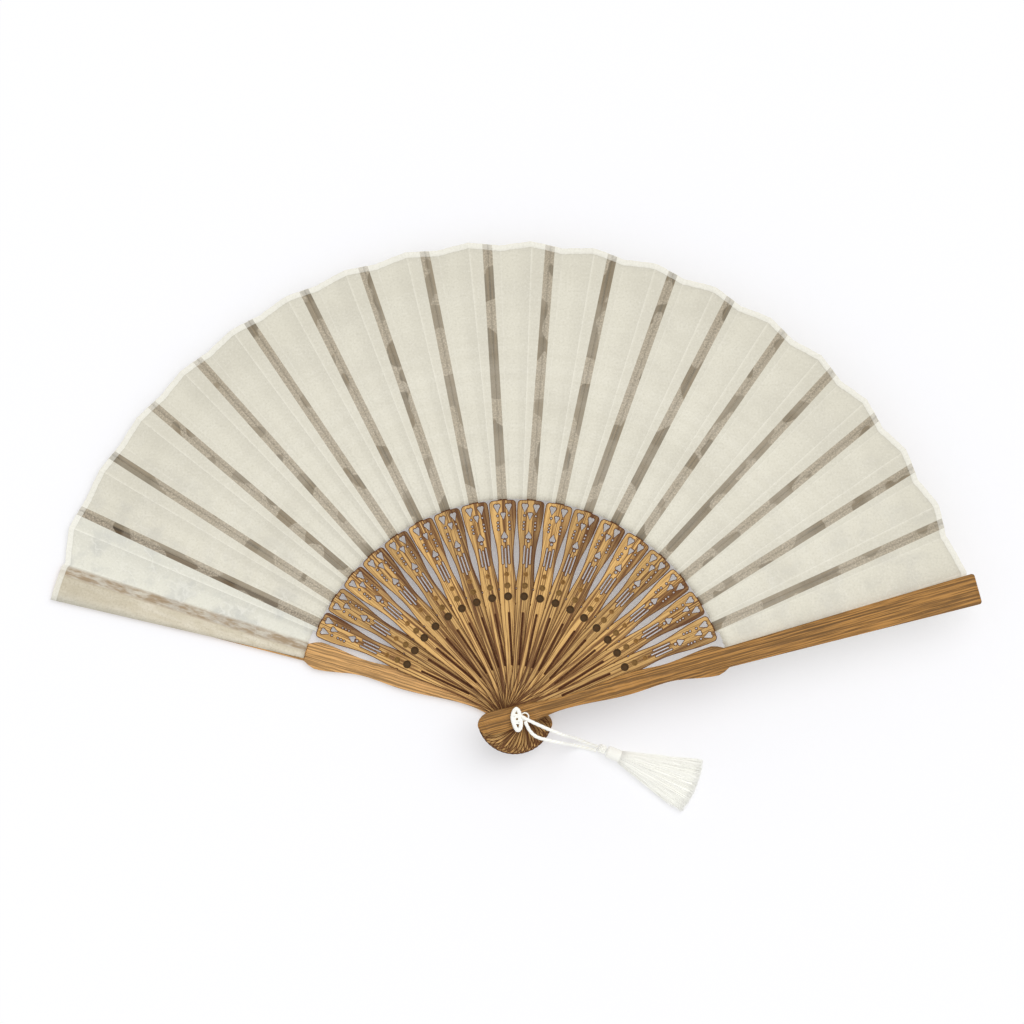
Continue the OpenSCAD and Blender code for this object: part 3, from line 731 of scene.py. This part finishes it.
def leaf_gore(k, look, material):
    """One gore of the leaf, from stick k to stick k + 1: glued, free and glued again.

    Its columns run at fixed angles and its rows from the inner edge to the hem. The free panel's angle is even in the
    share t between its two creases, and t is the weight that it follows the next stick with, so the panel turns over
    exactly as the fan shuts: angle when shut = front - (front + rear) x t. Its height is the mean of both sticks'
    glued surfaces at that angle, weighed by lift_share.
    """
    gap = TURNS[k + 1] - TURNS[k]
    first, last = k == 0, k == RIBS
    front, rear = CREASE_GUARD if first else CREASE_FRONT, CREASE_REAR
    hem, thick, ridge = look.hem_width * 1000, look.thickness * 1000, look.ridge * 1000
    hem_layers, inner_rows, further_in = 1.9, 40, 1.15
    arm_inner, arm_outer, arm_end = 4.05, 6.35, 194  # the rear guard's side, from the silk's inner edge to its end
    glued, free = np.linspace(0, 1, 8), np.linspace(0.004, 0.996, 27)
    weight = np.concatenate([0 * glued, free, 0 * glued + 1])
    rows = np.concatenate([np.linspace(0, 1, inner_rows), [1.0] * 4])
    into_hem = np.concatenate([np.zeros(inner_rows), [0.06, 0.5, 0.93, 1.0]])

    def by_part(on_this, on_next, between):
        """One of three values a column: glued to stick k, glued to the next, or free between them."""
        return np.where(weight == 0, on_this, np.where(weight == 1, on_next, between))

    rough = (LEAF_INNER + (LEAF_OUTER - LEAF_INNER) * rows)[:, None]
    guard_side = 2.0 + 0.0578 * (rough - LEAF_INNER)
    start = -np.degrees(np.arcsin(guard_side / rough)) if first else 0 * rough
    end = 1.5 if last else 0.0
    angle = np.concatenate([
        start + (front - start) * np.sin(glued * math.pi / 2), front + free * (gap - front - rear) + 0 * rough,
        gap - rear + (rear + end) * glued + 0 * rough], axis=-1)
    shut = by_part(angle, angle - gap, front - (front + rear) * weight)
    rim = by_part(
        tip_radius(k, shut), tip_radius(k + 1, shut),
        tip_radius(k, front) * (1 - weight) + tip_radius(k + 1, -rear) * weight)
    rim = rim + 0.1 * np.sin(angle * 5.3 + k) * np.sin(angle * 2.1)
    near_guard = (weight < 1) * 1.0 if first else (weight > 0.02) * 1.0 if last else 0.0
    inner = LEAF_INNER - further_in * (1 - near_guard)  # away from the guards the silk starts nearer the pivot
    radius = inner + (rim - hem - inner) * rows[:, None] + hem * into_hem[:, None]
    radius[0] += 0.12 * np.sin(angle[0] * 4.1 + 2 * k)
    low, high = (0.26, 0.7) if last else (0.22, 0.38)
    share = by_part(0, 1, lift_share(shut, radius, front, low, high))
    height = (1 - share) * seat_height(k, shut, radius, ridge) + share * seat_height(k + 1, shut, radius, ridge)
    x, y = spot_at(k, angle, radius)
    under = np.stack([x, y, height], axis=-1)
    over = under.copy()
    over[..., 2] += np.where(into_hem > 0, thick * hem_layers, thick)[:, None]
    points, faces = shell(under, over)

    later = weight > 0.5
    side = radius * np.sin(np.radians(np.where(later, angle - gap, angle)))
    on_guard = (later & last) | (~later & first)
    past_ridge = np.clip(angle - (gap - rear), 0, None) * radius * math.pi / 180
    t = weight + 0 * radius
    arm = arm_inner + (arm_outer - arm_inner) * (radius - LEAF_INNER) / (arm_end - LEAF_INNER)
    carried = {
        "side": side, "far": np.where(on_guard, FAR_OFF, np.abs(side)), "along": radius, "hem": rim - radius,
        "stick": np.where(later, k + 1.0, k + 0.0) + 0 * radius,
        # fold is painted light and shade for the silk: above 0 it darkens the silk as painted shade on the pleats,
        # below 0 it lightens it as a painted highlight along the creases.
        "fold": by_part(0.3, 0.45 - 0.85 * np.exp(-past_ridge / 0.3), 0.5 * t ** 2.0 - 0.3 * np.exp(-t / 0.02)),
        "band": arm - radius * np.sin(np.radians(angle)) if first else FAR_OFF + 0 * radius}
    carried = {key: np.tile(value.ravel(), 2) for key, value in carried.items()}
    carried["cloth"] = np.tile(np.stack([x, y, 0 * x], axis=-1).reshape(-1, 3), (2, 1))

    gore = mesh_of(f"leaf_gore_{k + 1:02d}", points, faces, carried)
    gore.data.materials.append(material)
    creases = [(*spot_at(k, crease, 0.15), 0.01) for crease in (front, gap - rear)]
    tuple(creases[0])
    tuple(creases[1])
    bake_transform(gore)
    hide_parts(*(SILKS[k:k + 2] if last else SILKS[k:k + 1]))
    return gore


def rimmed_copy(node, body, turn, materials, rim, drop):
    """A copy of a stick's solid with its cut edges marked off.

    Its loose triangles are merged. Round every edge of its upward faces runs a strip of width rim, whose outer side
    lies lower by drop. The strips and the walls take the second material. The third is for the round hollows, which are
    the only cuts near the middle line between 45 and 60 mm from the pivot, and for the floor of the groove; on the ribs
    it paints them dark as shade. The fourth is for the outer walls, which join on to the wall that is furthest from the
    pivot.
    """
    level, groove, hollows, middle, depth = 0.9, (0.018, 0.062), (0.045, 0.060), 0.0017, 0.0003
    piece = added(f"{node}_bamboo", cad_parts[node].data.copy())
    piece.data.materials.clear()
    for material in materials:
        piece.data.materials.append(material)
    work = bmesh.new()
    work.from_mesh(piece.data)
    bmesh.ops.remove_doubles(work, verts=work.verts, dist=2e-6)
    work.normal_update()
    upward = [face for face in work.faces if face.normal.z > level]
    border = {edge for face in upward for edge in face.edges if any(f.normal.z <= level for f in edge.link_faces)}
    outer = {vertex for edge in border for vertex in edge.verts}
    strips = set(bmesh.ops.inset_region(work, faces=upward, thickness=rim, use_boundary=True)["faces"])
    top = max(vertex.co.z for vertex in work.verts)
    for vertex in outer:
        vertex.co.z -= drop
    work.normal_update()
    for face in (*upward, *strips):
        if face.normal.z < 0:
            face.normal_flip()
    flat = set(upward)
    ahead = (math.cos(math.radians(turn)), math.sin(math.radians(turn)))
    for face in work.faces:
        spot = face.calc_center_median()
        far, across = spot.x * ahead[0] + spot.y * ahead[1], abs(spot.y * ahead[0] - spot.x * ahead[1])
        sunk = face in flat and spot.z < top - depth and groove[0] < far < groove[1]
        hollow = hollows[0] < far < hollows[1] and across < middle and (sunk or face not in flat)
        face.material_index = 2 if sunk or hollow else 0 if face in flat else 1
        face.smooth = False
    walls = {face for face in work.faces if abs(face.normal.z) < 0.5 and face not in strips}
    reached = [max(walls, key=lambda face: face.calc_center_median().xy.length)]
    while reached:
        face = reached.pop()
        if face in walls:
            walls.discard(face)
            face.material_index = 3
            reached += [other for edge in face.edges for other in edge.link_faces if other in walls]
    work.to_mesh(piece.data)
    work.free()
    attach(piece, body)
    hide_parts(node)
    "guard_bamboo" if "guard" in node else "bamboo"
    return piece


class FAN_OT_stage(bpy.types.Operator):
    """Adds the camera over the fan, the pale floor and the soft light"""

    bl_idname = "fan.stage"
    bl_label = "Stage"

    def execute(self, context):
        look = context.scene.fan_stage
        photo_middle, silk_height, sensor = (-0.0013, 0.0827), 0.012, 36
        floor_half, floor_height, corners = 2500, -0.02, 9
        camera = added("photo_camera", bpy.data.cameras.new("photo_camera"))
        camera.location = (*photo_middle, look.camera_height)
        camera.data.sensor_width = sensor
        camera.data.lens = sensor * (look.camera_height - silk_height) / look.view_width
        camera.data.clip_end = 20
        context.scene.camera = camera
        edge = np.linspace(-floor_half, floor_half, corners)
        x, y = np.meshgrid(edge, edge)
        floor = mesh_of("floor", np.stack([x, y, 0 * x + floor_height], axis=-1), faces_of(corners, corners), {})
        floor.data.materials.append(floor_finish(look))
        key = added("key_light", bpy.data.lights.new("key_light", "SUN"))
        key.data.energy, key.data.angle = look.key, math.radians(50)
        key.rotation_euler = (math.radians(-24), math.radians(20), 0)
        world = bpy.data.worlds.new("studio")
        world.use_nodes = True
        world.node_tree.nodes["Background"].inputs[0].default_value = (1, 1, 1, 1)
        world.node_tree.nodes["Background"].inputs[1].default_value = look.fill
        context.scene.world = world
        context.scene.view_settings.view_transform = "Standard"
        return {"FINISHED"}


class FAN_OT_strands(bpy.types.Operator):
    """Adds the two strands of twisted cord from the knot to the tassel"""

    bl_idname = "fan.strands"
    bl_label = "Strands"

    def execute(self, context):
        look = context.scene.fan_cord
        # The cord glows faintly, by 0.06, as painted light.
        material = cord_finish("cord_white", look, 0.06)
        radius, lay = look.diameter * 520, 4.2  # half in mm and 4 % for the grooves; length of one twist
        for name, route in (("strand_upper", STRAND_UPPER), ("strand_lower", STRAND_LOWER)):
            path = smooth_path(route)
            long = path_length(path)
            strand = dressed(f"cord_{name}", name, "cord", material, *rope(
                path, radius, (0.35, 0.93, 0.0), turns=long / lay, plies=2, sides=16, depth=0.14))
        return {"FINISHED"}


class FAN_OT_leaf(bpy.types.Operator):
    """Adds the pleated silk leaf, gore by gore"""

    bl_idname = "fan.leaf"
    bl_label = "Leaf"

    def execute(self, context):
        look = context.scene.fan_leaf
        material = silk_finish(look, grain_effect(), weave_effect())
        for k in range(RIBS + 1):
            leaf_gore(k, look, material)
        return {"FINISHED"}


class FAN_OT_sticks(bpy.types.Operator):
    """Gives the 18 ribs and the two guards their bamboo"""

    bl_idname = "fan.sticks"
    bl_label = "Sticks"

    def execute(self, context):
        look = context.scene.fan_bamboo
        grain = bpy.data.node_groups["bamboo_grain"]
        group = blade_effect(grain)
        edge, hollow, sawn = scorched_finish(look), hollow_shade_finish(look), sawn_finish(look)
        tones = 1 + 0.12 * np.sin(np.arange(RIBS + 2) * 2.4)
        guards = {"rear_guard": (look.rear_guard, 21.0, 0.6), "front_guard": (look.front_guard, 37.0, 0.5)}
        for i, name in enumerate(STICKS):
            turn = REAR_TURN - TURNS[i]
            if name in guards:
                base, seed, darkest = guards[name]
                material = guard_finish(f"bamboo_{name}", grain, base, turn, seed, darkest)
                rimmed_copy(name, BODIES[i], turn, [material] * 4, rim=0.0003, drop=0.0002)
            else:
                material = blade_finish(f"bamboo_{name}", group, look, turn, 3.3 * i, float(tones[i]))
                rimmed_copy(name, BODIES[i], turn, [material, edge, hollow, sawn], look.rim, drop=0.00006)
        return {"FINISHED"}


class FAN_OT_pivot(bpy.types.Operator):
    """Adds the rivet, its washer and its cap"""

    bl_idname = "fan.pivot"
    bl_label = "Pivot"

    def execute(self, context):
        material = metal_finish()
        low, high = (corner * 1000 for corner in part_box("rivet"))
        turns = {
            "rivet": [(0, low.z), (1.4, low.z), (2.2, low.z + 0.1), (2.6, low.z + 0.35), (2.6, low.z + 0.6),
                      (1.25, low.z + 0.6), (1.25, high.z - 0.05), (1.2, high.z), (0, high.z)],
            "washer": [(0, 21.66), (1.9, 21.66), (2, 21.72), (2, 21.88), (1.9, 21.94), (0, 21.94)],
            "rivet_cap": [(0, 21.95), (1.5, 21.95), (1.6, 22.02), (1.5, 22.18), (1.2, 22.28), (0.7, 22.34), (0, 22.35)]}
        for name, profile in turns.items():
            dressed(f"{name}_turned", name, "metal", material, *turned(profile))
        return {"FINISHED"}


class FAN_OT_knot(bpy.types.Operator):
    """Adds the white knot over the pivot and the small loop beside it"""

    bl_idname = "fan.knot"
    bl_label = "Knot"

    def execute(self, context):
        material = bpy.data.materials["cord_white"]
        t = np.linspace(0, 2 * math.pi, 96, endpoint=False)
        around = np.array([
            [0.5, 3.2], [-0.35, 2.5], [-0.95, 0.9], [-1.05, -0.8], [-0.55, -2.6], [0.15, -4.4], [1.0, -5.35],
            [1.95, -4.7], [2.3, -3.1], [2.25, -1.3], [1.95, 0.4], [1.4, 2.3]])
        middle, sway = 23.35, 0.25
        lift = middle + sway * np.cos(np.arange(len(around)) * math.pi / 2)
        frame_cord = rope(
            smooth_path(np.column_stack([around, lift]), 10, closed=True), 0.86, (0, 0, 1), turns=7, plies=3, sides=18,
            closed=True, depth=0.14)
        wraps = [
            rope(
                np.stack([cx + rx * np.cos(t), cy + ry * np.sin(t), cz + dz * np.cos(2 * t + 1)], -1), thick,
                (0, 0, 1), turns=5, plies=3, sides=14, closed=True, depth=0.14)
            for cx, cy, rx, ry, cz, dz, thick in (
                (0.7, -0.75, 0.8, 1.25, 23.5, 0.2, 0.42), (0.35, 0.35, 1.1, 0.55, 23.75, 0.25, 0.36),
                (1.1, -2.1, 1.1, 0.5, 23.75, 0.25, 0.36))]
        ring = np.stack([3.9 + 1.5 * np.cos(t), 0.1 + 1.5 * np.sin(t), 22.04 + 0.08 * np.cos(t)], -1)
        loop = rope(ring, 0.32, (0, 0, 1), turns=8, plies=2, sides=12, closed=True, depth=0.3)
        dressed("knot_over_pivot", "pivot_knot", "cord", material, *joined(frame_cord, *wraps))
        dressed("knot_ring", "knot_loop", "cord", material, *loop)
        return {"FINISHED"}


def along_tassel(ahead, across, height):
    """Points at ahead and across the tassel's own direction from its top, at that height."""
    c, s = math.cos(TASSEL_TURN), math.sin(TASSEL_TURN)
    return np.stack([TASSEL_AT[0] + c * ahead - s * across, TASSEL_AT[1] + s * ahead + c * across, height], axis=-1)


def skirt_spot(p, angle, height):
    """A point at distance p and angle (degrees) from the point that the skirt's sides run to, 0.8 before its top."""
    angle = np.radians(angle)
    return along_tassel(SKIRT_TOP + p * np.cos(angle), p * np.sin(angle), height)


def skirt_threads(count, rng):
    """Loose threads over the skirt, as three-sided tubes.

    A thread lies at the share q of the spread and h of the thickness. At distance p its angle is SKIRT_SPREAD x q plus
    a slow wave, and its height is the mid height plus half the thickness x h x sqrt(1 - 0.85 q q). A fifth of them lie
    low, a few stray, and the first 14 hang loose at one side.
    """
    points_each, hanging = 9, 14
    q = rng.uniform(-1.02, 1.02, count)
    h = np.clip(rng.uniform(0.2, 1.12, count), 0, 1.06)
    low = rng.random(count) < 0.22
    h[low] = rng.uniform(-0.75, 0.3, low.sum())
    reach = SKIRT_END - rng.gamma(1.1, 0.55, count) + rng.uniform(-0.15, 0.2, count)
    stray = rng.random(count) < 0.03
    reach[stray] -= rng.uniform(0, 6, stray.sum())
    q[:hanging] = -1.0 - rng.uniform(0.02, 0.16, hanging)
    h[:hanging], reach[:hanging] = 0.0, rng.uniform(30, 40, hanging)
    p = SKIRT_START + (reach[:, None] - SKIRT_START) * np.linspace(0, 1, points_each)[None, :]
    gone = (p - SKIRT_START) / (SKIRT_END - SKIRT_START)
    phase, beat = rng.uniform(0, 6, (count, 1)), rng.uniform(2, 7, (count, 1))
    wave = rng.uniform(-1, 1, (count, 1)) * np.sin(gone * beat + phase)
    angle = SKIRT_SPREAD * q[:, None] + (1.0 + 1.8 * stray[:, None]) * wave * gone
    mid = 2.72 - 1.32 * gone ** 0.8
    half = 2.35 - 1.0 * gone ** 0.8
    height = mid + half * h[:, None] * np.sqrt(np.clip(1 - 0.85 * q[:, None] ** 2, 0, 1)) + 0.12 * wave * gone
    path = skirt_spot(p, angle, np.maximum(height, 0.18))
    ahead = unit(np.gradient(path, axis=1))
    side = unit(np.cross(ahead, (0.0, 0.0, 1.0)))
    up = np.cross(side, ahead)
    a = (np.array([270, 390, 510]) * math.pi / 180)[None, None, :, None]  # one flat side up
    radius = rng.uniform(0.11, 0.18, count)[:, None, None, None]
    ring = path[:, :, None] + radius * (np.cos(a) * side[:, :, None] + np.sin(a) * up[:, :, None])
    tube = faces_of(points_each, 3, wrap=True)
    first = (np.arange(count) * points_each * 3)[:, None, None]
    last = points_each * 3
    ends = np.array([[2, 1, 0], [last - 3, last - 2, last - 1]])
    tone = np.repeat(rng.uniform(0.3, 1.0, count), last)
    return ring.reshape(-1, 3), [*(tube[None] + first).reshape(-1, 4), *(ends[None] + first).reshape(-1, 3)], tone


def skirt_core():
    """The skirt's body under the loose threads: a flat oval that widens from the collar, with ridges along it."""
    rings, sides, start, end = 26, 220, 8.6, SKIRT_END - 1.6
    p = start + (end - start) * np.linspace(0, 1, rings)[:, None]
    a = ring_angles(sides)
    gone = (p - start) / (SKIRT_END - SKIRT_START)
    ridges = 1 + 0.035 * np.sin(a * 46 + 2 * np.sin(3 * gone)) + 0.02 * np.sin(a * 71)
    half = (2.3 - 1.1 * gone ** 0.8) * np.sin(a) * ridges
    height = np.maximum(2.7 - 1.4 * gone ** 0.8 + half, 0.1)
    points = skirt_spot(p, (SKIRT_SPREAD - 0.6) * np.cos(a) * ridges, height)
    crown = np.broadcast_to(0.55 + 0.3 * np.sin(a * 46), (rings, sides)).ravel()
    return (*closed_ends(points, rings, sides), np.concatenate([crown, [0.5, 0.5]]))


def tassel_ball():
    """The braided knot on top: a cord on a ball, longitude 5 t and latitude 52 cos(7 t) degrees, that rises and dips
    at its crossings, round a plain core."""
    t = np.linspace(0, 2 * math.pi, 300, endpoint=False)
    tilt = np.radians(52) * np.cos(7 * t)
    out = BALL_RADIUS + 0.22 * np.sin(14 * t)
    way = np.stack([np.sin(tilt), np.cos(tilt) * np.cos(5 * t), np.cos(tilt) * np.sin(5 * t)], -1)
    local = out[:, None] * way
    path = along_tassel(local[:, 0], local[:, 1], BALL_HEIGHT + local[:, 2])
    middle = along_tassel(0.0, 0.0, BALL_HEIGHT)
    braid = rope(path, 0.42, unit(path - middle), turns=40, plies=2, sides=10, closed=True, depth=0.25)
    a = np.linspace(-math.pi / 2, math.pi / 2, 14)
    points, faces = turned(np.stack([1.45 * np.cos(a), 1.45 * np.sin(a)], -1), 24)
    core = along_tassel(points[:, 0], points[:, 1], BALL_HEIGHT + points[:, 2])
    return joined(braid, (core, faces, np.full(len(points), 0.1)))


def tassel_windings():
    """The collar: a barrel 6.2 mm along the tassel whose radius has one bump each 0.52 mm, a winding:
    |sin(pi x 6.2 s / 0.52 + a / 2)|, with s from 0 to 1 along it."""
    rings, sides, long, pitch = 90, 40, 6.2, 0.52
    s = np.linspace(0, 1, rings)[:, None]
    a = ring_angles(sides)
    crown = np.abs(np.sin(math.pi * s * long / pitch + a / 2))
    barrel = 2.42 * np.clip(1 - np.abs(2 * s - 1) ** 9 * 0.3, 0, 1)
    out = barrel + 0.2 * crown
    points = along_tassel(2.0 + long * s + 0 * a, out * np.cos(a), np.maximum(COLLAR_HEIGHT + out * np.sin(a), 0.05))
    return (*closed_ends(points, rings, sides), np.concatenate([crown.ravel(), [0.3, 0.3]]))


class FAN_OT_tassel(bpy.types.Operator):
    """Adds the tassel: a braided knot, a wound collar and a skirt of threads"""

    bl_idname = "fan.tassel"
    bl_label = "Tassel"

    def execute(self, context):
        look = context.scene.fan_cord
        cord = bpy.data.materials["cord_white"]
        # The skirt's threads glow by 0.13, as painted light.
        silk = cord_finish("tassel_thread", look, 0.13)
        skirt = joined(skirt_core(), skirt_threads(look.threads, np.random.default_rng(7)))
        dressed("tassel_ball", "tassel_knot", "cord", cord, *tassel_ball())
        dressed("tassel_windings", "tassel_collar", "cord", cord, *tassel_windings())
        dressed("tassel_threads", "tassel_skirt", "cord", silk, *skirt)
        return {"FINISHED"}


class FAN_PT_panel(bpy.types.Panel):
    """Lists the fan's pieces in the sidebar"""

    bl_label = "Folding fan"
    bl_idname = "FAN_PT_panel"
    bl_space_type = "VIEW_3D"
    bl_region_type = "UI"
    bl_category = "Fan"

    def draw(self, context):
        for operator in OPERATORS:
            self.layout.operator(operator.bl_idname)


OPERATORS = (FAN_OT_stage, FAN_OT_strands, FAN_OT_leaf, FAN_OT_sticks, FAN_OT_pivot, FAN_OT_knot, FAN_OT_tassel)
SETTINGS = {
    "fan_stage": StageSettings, "fan_leaf": LeafSettings, "fan_bamboo": BambooSettings, "fan_cord": CordSettings}


def register():
    for item in (*SETTINGS.values(), *OPERATORS, FAN_PT_panel):
        bpy.utils.register_class(item)
    for name, item in SETTINGS.items():
        setattr(bpy.types.Scene, name, PointerProperty(type=item))


def unregister():
    for name in SETTINGS:
        delattr(bpy.types.Scene, name)
    for item in (FAN_PT_panel, *reversed(OPERATORS), *reversed(SETTINGS.values())):
        bpy.utils.unregister_class(item)


def main():
    register()
    bpy.ops.fan.stage()
    bpy.ops.fan.strands()
    bpy.ops.fan.leaf()
    bpy.ops.fan.sticks()
    bpy.ops.fan.pivot()
    bpy.ops.fan.knot()
    bpy.ops.fan.tassel()


if __name__ == "__main__":
    main()
